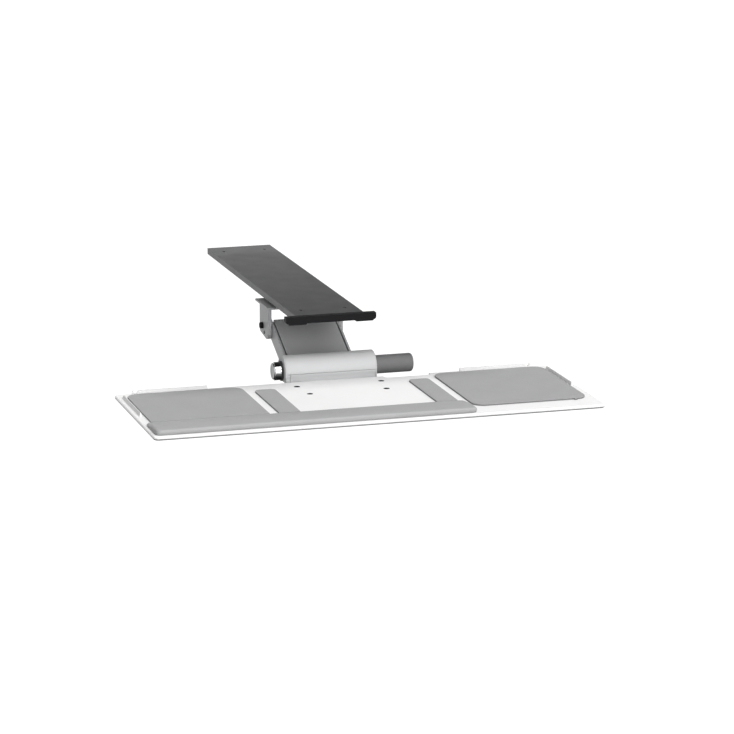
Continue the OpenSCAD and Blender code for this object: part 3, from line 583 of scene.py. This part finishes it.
grip_r = (grip_high.z - grip_low.z) / 2
grip_end = 4 * MM
lip = 1.2 * MM
grip = (
    [(grip_low.x, 0)]
    + arc((grip_low.x + lip, grip_r - lip), lip, 180, 90)
    + arc((grip_high.x - grip_end, grip_r - grip_end), grip_end, 90, 0, 10)
    + [(grip_high.x, 0)]
)
piece("rubber_grip_fluted", spun(grip, closed=False, steps=128), "rubber_grip")
print("knob radius", round(knob_r, 4), "grip radius", round(grip_r, 4))

# %% [markdown]
# ## The housing and its ends
# The housing tilts with the board: a curved silver cover between two ends that are round above and
# upright in front. The cover is swept through just under half a turn. Each end is a copy of its
# solid with a generous bevel round its outer rim only, so the housing seems to roll over at each
# side. The panel below the seam has an upright joint near its left end, so it is cut into two
# pieces with a hair's gap.

# %% Sweep the cover, roll its ends and cut the front panel
cover_low, cover_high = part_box("housing_cover")
shell_r = cover_high.z - axis_z
wall = 2 * MM
cover = [
    (cover_low.x, shell_r - wall), (cover_high.x, shell_r - wall),
    (cover_high.x, shell_r), (cover_low.x, shell_r),
]
cover_turn = 174
cover_start = -80
shape = spun(cover, angle=math.radians(cover_turn), steps=80, start=math.radians(cover_start))
round_edges(shape, 0.4 * MM, turn=50)
piece("housing_cover_shell", shape, "housing_cover")

cap_roll = 2.1 * MM
bore_reach = 12 * MM


def on_outer_rim(outer):
    """A test for edges of the face at one place along X that are not round the bore."""
    def test(edge):
        return all(
            abs(point.co.x - outer) < 1e-5 and (point.co - axis_at).yz.length > bore_reach
            for point in edge.verts
        )
    return test


for side, node in ((0, "left_end_cap"), (1, "right_end_cap")):
    shape = copy_of(node)
    round_edges(shape, cap_roll, steps=6, chosen=on_outer_rim(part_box(node)[side].x))
    piece(node + "_rounded", shape, node)

panel_joint = cover_low.x + 5.6 * MM
half_gap = 0.25 * MM
for name, side in (("front_panel_left", 1), ("front_panel_main", -1)):
    shape = copy_of("front_panel")
    cut = bmesh.ops.bisect_plane(
        shape, geom=shape.verts[:] + shape.edges[:] + shape.faces[:],
        plane_co=(panel_joint - side * half_gap, 0, 0), plane_no=(side, 0, 0), clear_outer=True,
    )
    rim = [item for item in cut["geom_cut"] if isinstance(item, bmesh.types.BMEdge)]
    bmesh.ops.holes_fill(shape, edges=rim, sides=0)
    round_edges(shape, 0.3 * MM)
    piece(name, shape, "front_panel")
print("housing radius", round(shell_r, 4), "panel joint at x", round(panel_joint, 4))

# %% [markdown]
# ## Springs
# A wound spring is a small circle that is spun and moved along its axis at the same time: the spin
# operator's dvec is the step along the axis for each step of the turn. The two lift springs sit on
# the upper pin, and a small one behind the right end turns the grip back. Their wire is round here,
# so a little room is left inside each coil, where it clears the pin that it sits on.

# %% Wind the springs


def wound(start, radius, wire, turns, pitch):
    """A coil along X that starts at a point, with its ends closed."""
    shape = bmesh.new()
    ring = bmesh.ops.create_circle(shape, segments=10, radius=wire / 2, cap_ends=False)["verts"]
    upright = Matrix.Rotation(math.pi / 2, 3, "X")
    bmesh.ops.rotate(shape, cent=(0, 0, 0), matrix=upright, verts=ring)
    bmesh.ops.translate(shape, vec=start + Vector((0, 0, radius)), verts=ring)
    steps_a_turn = 40
    bmesh.ops.spin(
        shape, geom=shape.verts[:] + shape.edges[:], cent=start, axis=(1, 0, 0), use_merge=False,
        dvec=(pitch / steps_a_turn, 0, 0), angle=turns * math.tau, steps=turns * steps_a_turn,
    )
    bmesh.ops.holes_fill(shape, edges=[edge for edge in shape.edges if edge.is_boundary], sides=0)
    return shape


spring_low, spring_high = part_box("lift_springs")
pin_at = (spring_low + spring_high) / 2
lift_wire = 2.5 * MM
lift_turns = 8
lift_pitch = lift_wire * 1.3
lift_r = (spring_high.z - spring_low.z - lift_wire) / 2 * 0.97
first = spring_high.x - lift_wire / 2 - lift_turns * lift_pitch
for name, x in (("right_lift_spring", first), ("left_lift_spring", -first - lift_turns * lift_pitch)):
    shape = wound(Vector((x, pin_at.y, pin_at.z)), lift_r, lift_wire, lift_turns, lift_pitch)
    piece(name, shape, "lift_springs")

spring_low, spring_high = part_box("release_spring")
release_wire = 1.5 * MM
release_r = 8.4 * MM
release_pitch = release_wire * 1.4
release_turns = round((spring_high.x - spring_low.x - release_wire) / release_pitch)
coil_start = Vector((spring_low.x + release_wire / 2, axis_y, axis_z))
shape = wound(coil_start, release_r, release_wire, release_turns, release_pitch)
piece("release_spring_wound", shape, "release_spring")
print("turns:", lift_turns, release_turns)

# %% [markdown]
# ## Pin heads and board screws
# The pins end in black caps with a slightly domed face. The board is held by four black screws,
# sunk level with it. Each has a six-sided socket: the recess is turned round first, and the points
# of its wall are then moved out to a hexagon, whose radius grows towards each corner as one over
# the cosine of the angle from the middle of a side.

# %% Turn the pin heads and the screws
head_thick = 5.5 * MM
head_bend = 1.1 * MM
bend_back = 1.5 * MM
dome_rise = 0.3 * MM
for node in ("upper_pin_heads", "lower_pin_heads"):
    heads_low, heads_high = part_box(node)
    heads_at = (heads_low + heads_high) / 2
    head_r = (heads_high.z - heads_low.z) / 2
    for side, where in ((-1, "left"), (1, "right")):
        face = side * heads_high.x
        back = face - side * head_thick
        dome = [(face - side * dome_rise, head_r * 0.8), (face, head_r * 0.35), (face, 0)]
        bend_at = (face - side * bend_back, head_r - head_bend)
        bend = arc(bend_at, head_bend, 90, 30 if side > 0 else 150)
        shape = spun([(back, 0), (back, head_r)] + bend + dome, closed=False, steps=48, at=heads_at)
        piece(where + "_" + node.removesuffix("s"), shape, node, sharp=50)

screws_low, screws_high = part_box("board_screws")
screw_head = 4.8 * MM
shank = 2.4 * MM
socket = 1.5 * MM
socket_deep = 1.4 * MM
socket_lip = 0.1 * MM
head_rim = 0.2 * MM
screw_end = screws_low.z - screws_high.z
screw_profile = [
    (0, -socket_deep), (socket, -socket_deep), (socket, -socket_lip), (socket + socket_lip, 0),
    (screw_head - 0.3 * MM, 0), (screw_head, -head_rim), (shank, -(screw_head - shank) - head_rim),
    (shank, screw_end), (0, screw_end),
]


def screw_at(place):
    """A sunk screw whose face is level with a point."""
    shape = bmesh.new()
    points = [shape.verts.new(place + Vector((r, 0, z))) for r, z in screw_profile]
    edges = [shape.edges.new(pair) for pair in zip(points, points[1:])]
    bmesh.ops.spin(
        shape, geom=points + edges, cent=place, axis=(0, 0, 1), angle=math.tau, steps=48, use_merge=True
    )
    for point in shape.verts:
        arm = (point.co - place).xy
        if 0 < arm.length < socket + 2 * socket_lip:
            off_middle = math.atan2(arm.y, arm.x) % math.radians(60) - math.radians(30)
            point.co.xy = place.xy + arm / math.cos(off_middle)
    return shape


front_half = 60 * MM
back_row = (screws_high.x - screw_head, screws_high.y - screw_head)
front_row = (front_half, screws_low.y + screw_head)
for row, (half, y) in (("back", back_row), ("front", front_row)):
    for where, x in (("left", -half), ("right", half)):
        place = Vector((x, y, screws_high.z))
        piece(f"{row}_{where}_board_screw", screw_at(place), "board_screws")
print("screws and pin heads are turned")

# %% [markdown]
# ## Pads, strips and the palm rest
# The pads are foam with a cloth face: flat below, a rolled edge all round, and a slight crown. Each
# starts as one square face. Its four corners are bevelled round, the face is extruded up and the
# top edge is rolled with a bevel. Cutting planes then slice the top into a net of points, and each
# point rises by how far it is from the edges, so the crown is full in the middle and nothing at
# the rim. The palm rest is the same with a fuller roll, its long sides pull in by a hair, and its
# height sinks towards the back, where it meets the pads almost level.

# %% Shape the soft rests


def slices(shape, axis, low, high, step):
    """Cuts a shape with evenly spaced planes across one axis."""
    count = max(2, round((high - low) / step))
    normal = Vector((1, 0, 0)) if axis == 0 else Vector((0, 1, 0))
    for i in range(1, count):
        bmesh.ops.bisect_plane(
            shape, geom=shape.verts[:] + shape.edges[:] + shape.faces[:], dist=1e-6,
            plane_co=normal * (low + (high - low) * i / count), plane_no=normal,
        )


def soft_rest(name, node, corners, roll, crown, under=0.0, pull=0.0, back_share=1.0, front=0.0):
    """A soft pad in a solid's box; its two radii are for the front corners and the back corners.

    Its upper quarter takes the crown, and from two fifths of its depth it sinks to a share of its height.
    """
    low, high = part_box(node)
    low = low + Vector((0, front, 0))
    step = 8 * MM
    crowned_share = 0.25
    level_share = 0.4
    shape = bmesh.new()
    bmesh.ops.create_grid(shape, x_segments=1, y_segments=1, size=0.5)
    size = high - low
    middle = Vector(((low.x + high.x) / 2, (low.y + high.y) / 2, low.z))
    bmesh.ops.scale(shape, vec=(size.x, size.y, 1), verts=shape.verts)
    bmesh.ops.translate(shape, vec=middle, verts=shape.verts)
    for y, radius in zip((low.y, high.y), corners):
        if radius > 0:
            ends = [point for point in shape.verts if abs(point.co.y - y) < 1e-6]
            bmesh.ops.bevel(
                shape, geom=ends, offset=radius, offset_type="OFFSET", segments=12, profile=0.5,
                affect="VERTICES", material=-1,
            )
    grown = bmesh.ops.extrude_face_region(shape, geom=shape.faces[:], use_keep_orig=True)
    raised = [item for item in grown["geom"] if isinstance(item, bmesh.types.BMVert)]
    bmesh.ops.translate(shape, vec=(0, 0, size.z - crown), verts=raised)
    by_height = sorted(shape.faces, key=lambda face: face.calc_center_median().z)
    for face, width in ((by_height[-1], roll), (by_height[0], under)):
        if width > 0:
            bmesh.ops.bevel(
                shape, geom=face.edges[:], offset=width, offset_type="OFFSET", segments=6, profile=0.5,
                affect="EDGES", material=-1,
            )
    slices(shape, 0, low.x, high.x, step)
    slices(shape, 1, low.y, high.y, step)
    for point in shape.verts:
        u = 2 * abs(point.co.x - middle.x) / size.x
        v = 2 * abs(point.co.y - middle.y) / size.y
        share = (point.co.z - low.z) / (size.z - crown)
        edge_share = max(0.0, 1 - (1 - min(1.0, share)) / crowned_share)
        point.co.z += crown * max(0.0, 1 - u ** 4) * max(0.0, 1 - v ** 2) * edge_share
        side = 1 if point.co.y > middle.y else -1
        point.co.y -= side * pull * max(0.0, 1 - u ** 2) * v ** 6
        behind = max(0.0, (point.co.y - low.y) / size.y - level_share) / (1 - level_share)
        point.co.z = low.z + (point.co.z - low.z) * (1 + (back_share - 1) * behind)
    made = piece(name, shape, node, sharp=60)


pad_r = 18 * MM
pad_roll = 0.6 * MM
pad_crown = 0.3 * MM
strip_r = 8 * MM
palm_corners = (9 * MM, 14 * MM)
palm_roll = 4.6 * MM
palm_crown = 0.9 * MM
soft_rest(
    "palm_rest_soft", "palm_rest", palm_corners, palm_roll, palm_crown, under=3.0 * MM, pull=0.4 * MM,
    back_share=0.32,
)
soft_rest("left_mouse_pad_soft", "left_mouse_pad", (0, pad_r), pad_roll, pad_crown)
for node in ("left_grip_strip", "right_grip_strip"):
    soft_rest(node + "_soft", node, (0, strip_r), pad_roll, pad_crown)

# %% [markdown]
# ## The right pad and its pull tab
# The right pad is the same foam, with a small tab at its front edge to lift it by. The solid's box
# takes in the tab, so the pad's own front is the tab's length further back.

# %% Shape the right pad
tab_out = 4 * MM
tab_in = 1 * MM
tab = Vector((4.5 * MM, tab_out + tab_in, 2.1 * MM))
low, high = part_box("right_mouse_pad")
soft_rest("right_mouse_pad_soft", "right_mouse_pad", (pad_r, pad_r), pad_roll, pad_crown, front=tab_out)
shape = bmesh.new()
bmesh.ops.create_cube(shape, size=1)
bmesh.ops.scale(shape, vec=tab, verts=shape.verts)
tab_at = Vector((high.x - pad_r - tab.x / 2, low.y + tab.y / 2, low.z + tab.z / 2))
bmesh.ops.translate(shape, vec=tab_at, verts=shape.verts)
round_edges(shape, 0.7 * MM)
piece("right_mouse_pad_tab", shape, "right_mouse_pad")
print("tab at x", round(tab_at.x, 4))

# %% [markdown]
# ## The stage and the light
# The tray hangs in the air, so the floor lies well below it, pale and plain. It glows a little for
# camera, mirror and glass rays, which makes the background white without adding light to the
# object, and it can be seen through from below so that the underside can be looked at too. Two
# wide soft lights come from the front right: a high one that shades the forms, and a low one that
# reaches under the track to the arm. The world fills the rest. A sun with a large angle lights the
# far floor as brightly as the near floor, so no horizon shows. Two dark cards, one overhead and one
# underneath, are seen only by mirror rays: they give the chrome something dark to reflect. A third,
# a flag, is never seen: it keeps the high light off the arm, which works in the shade.

# %% Build the floor, the world and the light


def flat_sheet(name, size, middle):
    """A level sheet of the stage."""
    mesh = bpy.data.meshes.new(name)
    shape = bmesh.new()
    bmesh.ops.create_grid(shape, x_segments=1, y_segments=1, size=0.5)
    bmesh.ops.scale(shape, vec=(*size, 1), verts=shape.verts)
    bmesh.ops.translate(shape, vec=middle, verts=shape.verts)
    shape.to_mesh(mesh)
    shape.free()
    made = bpy.data.objects.new(name, mesh)
    bpy.context.scene.collection.objects.link(made)
    return made


def seen_rays(wire):
    """One for camera, mirror and glass rays, and nothing for the rays that carry light."""
    rays = wire.node("ShaderNodeLightPath", {}, {}).output.node
    kinds = ("Is Camera Ray", "Is Glossy Ray", "Is Transmission Ray")
    camera_ray, mirror_ray, glass_ray = [Wire(wire.tree, rays.outputs[kind]) for kind in kinds]
    return wire.maths("MINIMUM", camera_ray + mirror_ray + glass_ray, 1.0)


floor_low = -0.72
floor_grey = (0.22, 0.22, 0.22, 1)
floor_glow = 0.88
floor = flat_sheet("floor", (60, 60), (0, 0, floor_low))

floor_finish = bpy.data.materials.new("pale_floor")
floor_finish.use_nodes = True
tree = floor_finish.node_tree
tree.nodes.clear()
output = tree.nodes.new("ShaderNodeOutputMaterial")
wire = Wire(tree)
strength = seen_rays(wire) * floor_glow
matt = wire.node("ShaderNodeBsdfDiffuse", {}, {"Color": floor_grey})
glow = wire.node("ShaderNodeEmission", {}, {"Color": (1, 1, 1, 1), "Strength": strength})
both = wire.node("ShaderNodeAddShader", {}, {0: matt, 1: glow})
clear = wire.node("ShaderNodeBsdfTransparent", {}, {})
below = wire.node("ShaderNodeNewGeometry", {}, {}, "Backfacing")
surface = wire.node("ShaderNodeMixShader", {}, {0: below, 1: both, 2: clear})
tree.links.new(surface.output, output.inputs["Surface"])
floor.data.materials.append(floor_finish)

card_finish = bpy.data.materials.new("dark_card")
card_finish.use_nodes = True
card_shader = card_finish.node_tree.nodes["Principled BSDF"]
card_shader.inputs["Base Color"].default_value = (0.02, 0.02, 0.02, 1)


def card(name, size, middle, hidden):
    """A dark card that the rays of the hidden kinds pass through."""
    made = flat_sheet(name, size, middle)
    made.data.materials.append(card_finish)
    for ray in hidden:
        setattr(made, "visible_" + ray, False)


mirror_only = ("camera", "diffuse", "shadow", "transmission")
card("high_card", (1.6, 1.1), (0, 0.1, 0.3), mirror_only)
card("low_card", (1.0, 0.9), (0, -0.2, -0.3), mirror_only)
card("flag", (0.5, 0.57), (0, -0.085, 0.03), ("camera", "diffuse", "glossy", "transmission"))

world_fill = 0.42
world_seen = 1.0
world = bpy.data.worlds.new("studio")
world.use_nodes = True
bpy.context.scene.world = world
tree = world.node_tree
tree.nodes.clear()
output = tree.nodes.new("ShaderNodeOutputWorld")
wire = Wire(tree)
strength = world_fill + seen_rays(wire) * (world_seen - world_fill)
light = wire.node("ShaderNodeBackground", {}, {"Color": (1, 1, 1, 1), "Strength": strength})
tree.links.new(light.output, output.inputs["Surface"])


def soft_sun(name, way, strength, spread):
    """A wide soft light that shines along one direction, with the same strength everywhere."""
    sun = bpy.data.lights.new(name, "SUN")
    sun.energy = strength
    sun.angle = math.radians(spread)
    made = bpy.data.objects.new(name, sun)
    made.rotation_euler = Vector(way).to_track_quat("-Z", "Y").to_euler()
    bpy.context.scene.collection.objects.link(made)


soft_sun("high_light", (-0.25, 0.55, -1.0), 2.4, 50)
soft_sun("low_light", (-0.1, 1.0, -0.05), 1.7, 50)
bpy.context.scene.view_settings.view_transform = "Standard"
